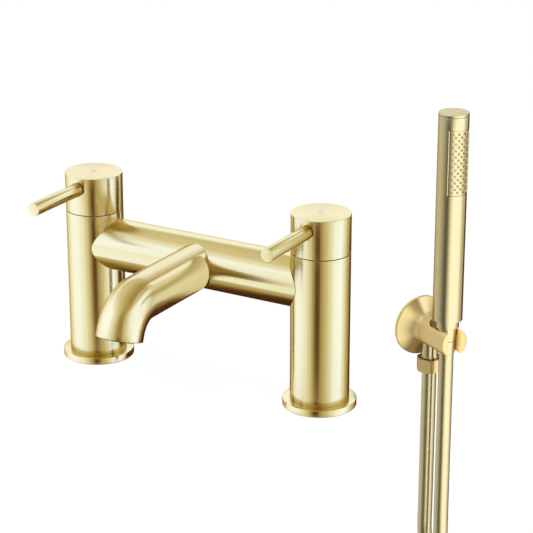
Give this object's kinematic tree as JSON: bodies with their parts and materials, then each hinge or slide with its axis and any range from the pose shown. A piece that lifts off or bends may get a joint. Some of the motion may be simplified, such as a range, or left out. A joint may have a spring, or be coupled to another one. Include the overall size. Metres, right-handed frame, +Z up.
{
  "type": "bath filler set",
  "caption": "Brushed-brass bath set: deck-mounted bridge filler with quarter-turn levers and fixed spout, and a wall outlet that cradles a pencil handset on its hose",
  "frame": {"origin": "on the bath deck, midway between the two pillars", "axes": "+Z up, -Y the way the spout and levers point, hot pillar at -X; the wall outlet stands behind at +Y and faces 60 degrees round from -Y towards +X"},
  "size_m": [0.2367, 0.7156, 0.7421],
  "materials": {
    "brushed_brass": "fine brushed, satin sheen, warm",
    "pale_brass": "fine brushed, satin sheen, slightly green",
    "raw_brass": "plain machined",
    "hose_finish": "smooth metallic gold PVC",
    "rubber": "matt black",
    "black_plastic": "moulded, matt",
    "white_plastic": "moulded, off-white",
    "ceramic": "lapped alumina ceramic",
    "steel": "plain stainless steel",
    "hot_enamel": "red enamel",
    "cold_enamel": "blue enamel"
  },
  "bodies": {
    "fixtures": {"bridge": "brushed_brass", "spout": "brushed_brass", "pillar_left": "brushed_brass", "base_flange_left": "brushed_brass", "threaded_tail_left": "raw_brass", "backnut_left": "raw_brass", "headwork_body_left": "raw_brass", "gland_nut_left": "raw_brass", "deck_washer_left": "rubber", "under_deck_washer_left": "rubber", "seat_seal_left": "rubber", "fixed_disc_left": "ceramic", "pillar_right": "brushed_brass", "base_flange_right": "brushed_brass", "threaded_tail_right": "raw_brass", "backnut_right": "raw_brass", "headwork_body_right": "raw_brass", "gland_nut_right": "raw_brass", "deck_washer_right": "rubber", "under_deck_washer_right": "rubber", "seat_seal_right": "rubber", "fixed_disc_right": "ceramic", "flow_sleeve": "black_plastic", "flow_core": "black_plastic", "hose_tie": "black_plastic", "wall_ring": "pale_brass", "holder_body": "pale_brass", "outlet_spigot": "pale_brass", "hose_nut": "pale_brass", "wall_nipple": "raw_brass", "holder_screw": "steel", "nipple_seal": "rubber", "hose_nut_washer": "rubber", "check_valve": "white_plastic", "hose_outlet_run": "hose_finish", "hose_coil": "hose_finish"},
    "handle_left": {"handle_cap_left": "brushed_brass", "lever_left": "brushed_brass", "cap_screw_left": "steel", "indicator_left": "hot_enamel", "spindle_left": "raw_brass", "turning_disc_left": "ceramic"},
    "handle_right": {"handle_cap_right": "brushed_brass", "lever_right": "brushed_brass", "cap_screw_right": "steel", "indicator_right": "cold_enamel", "spindle_right": "raw_brass", "turning_disc_right": "ceramic"},
    "hose_end": {"cone_nut": "pale_brass", "cone_washer": "rubber", "hose_sleeve": "pale_brass", "hose_handset_run": "hose_finish"},
    "handset": {"handset_collar": "pale_brass", "handset_body": "pale_brass", "spray_plate": "pale_brass", "nozzle_mat": "rubber", "water_tube": "white_plastic", "handset_cap": "pale_brass"}
  },
  "joints": [
    {"name": "lever_left_turn", "type": "hinge", "parent": "fixtures", "child": "handle_left", "pos_m": [-0.09, 0, 0.1224], "axis": [0, 0, 1], "range_deg": [-90, 0]},
    {"name": "lever_right_turn", "type": "hinge", "parent": "fixtures", "child": "handle_right", "pos_m": [0.09, 0, 0.1224], "axis": [0, 0, 1], "range_deg": [0, 90]},
    {"name": "handset_lift", "type": "slide", "parent": "fixtures", "child": "hose_end", "axis": [0, 0, 1], "range_m": [0, 0.032]},
    {"name": "handset_turn", "type": "hinge", "parent": "hose_end", "child": "handset", "pos_m": [-0.04846, 0.50275, -0.158], "axis": [0, 0, 1], "continuous": true}
  ]
}
